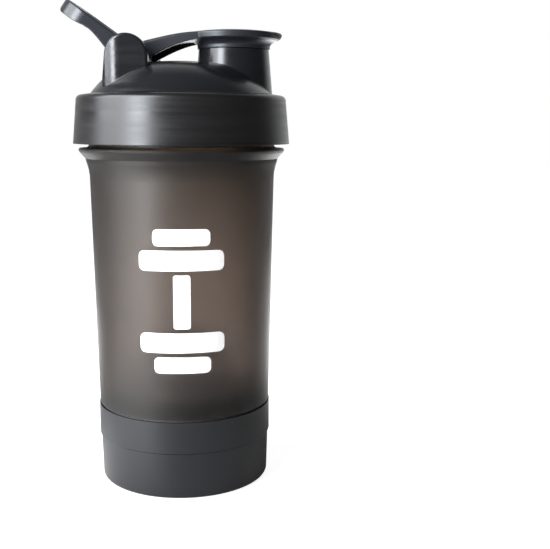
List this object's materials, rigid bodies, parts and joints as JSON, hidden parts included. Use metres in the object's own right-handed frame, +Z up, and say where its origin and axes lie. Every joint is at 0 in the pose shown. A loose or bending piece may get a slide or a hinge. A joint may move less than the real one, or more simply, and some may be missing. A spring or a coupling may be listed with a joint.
{
  "type": "protein shaker bottle",
  "caption": "Tapered translucent shaker cup with a domed screw lid, flip cap over a round spout, carry loop, loose wire whisk ball and a screw-on storage jar as its base.",
  "frame": {"origin": "centre of the storage jar's foot ring, on the surface the bottle stands on", "axes": "+Z up along the bottle's axis, +X from the lid hinge towards the spout, +Y towards the back; the printed mark faces -Y"},
  "size_m": [0.1021, 0.1, 0.2221],
  "materials": {
    "smoke_cup": "frosted translucent smoke grey polypropylene",
    "slate_jar": "slate grey satin polypropylene",
    "black_lid": "black satin polypropylene",
    "black_cap": "black semi-gloss polypropylene",
    "black_loop": "black semi-gloss nylon",
    "seal_rubber": "dark grey silicone rubber",
    "plug_rubber": "soft black elastomer",
    "pin_steel": "ground stainless steel",
    "whisk_steel": "electropolished stainless wire",
    "white_ink": "opaque white screen print"
  },
  "bodies": {
    "jar": {"storage_jar": "slate_jar"},
    "jar_thread": {"base_seal": "seal_rubber"},
    "bottle": {"bottle_cup": "smoke_cup", "front_mark": "white_ink"},
    "ball": {"whisk_ball": "whisk_steel"},
    "lid_screw": {"lid_seal": "seal_rubber"},
    "lid": {"lid": "black_lid", "hinge_pin": "pin_steel"},
    "cap": {"flip_cap": "black_cap", "spout_plug": "plug_rubber"},
    "loop": {"carry_loop": "black_loop"}
  },
  "joints": [
    {"name": "bottle_rise", "type": "slide", "parent": "jar", "child": "jar_thread", "axis": [0, 0, 1], "range_m": [0, 0.009]},
    {"name": "bottle_unscrew", "type": "hinge", "parent": "jar_thread", "child": "bottle", "pos_m": [0, 0, 0.0312], "axis": [0, 0, 1], "range_deg": [0, 540]},
    {"name": "ball_float", "type": "slide", "parent": "bottle", "child": "ball", "axis": [0, 0, 1], "range_m": [0, 0.094]},
    {"name": "lid_rise", "type": "slide", "parent": "bottle", "child": "lid_screw", "axis": [0, 0, 1], "range_m": [0, 0.0225]},
    {"name": "lid_unscrew", "type": "hinge", "parent": "lid_screw", "child": "lid", "pos_m": [0, 0, 0.168], "axis": [0, 0, 1], "range_deg": [0, 810]},
    {"name": "cap_open", "type": "hinge", "parent": "lid", "child": "cap", "pos_m": [-0.0219, 0, 0.1977], "axis": [0, -1, 0], "range_deg": [0, 100]},
    {"name": "loop_swing", "type": "hinge", "parent": "lid", "child": "loop", "pos_m": [-0.0219, 0, 0.1977], "axis": [0, -1, 0], "range_deg": [-14, 50]}
  ],
  "couplings": [
    {"joint": "bottle_rise", "follows": "bottle_unscrew", "m_per_rad": 0.00095493},
    {"joint": "lid_rise", "follows": "lid_unscrew", "m_per_rad": 0.0015915}
  ]
}
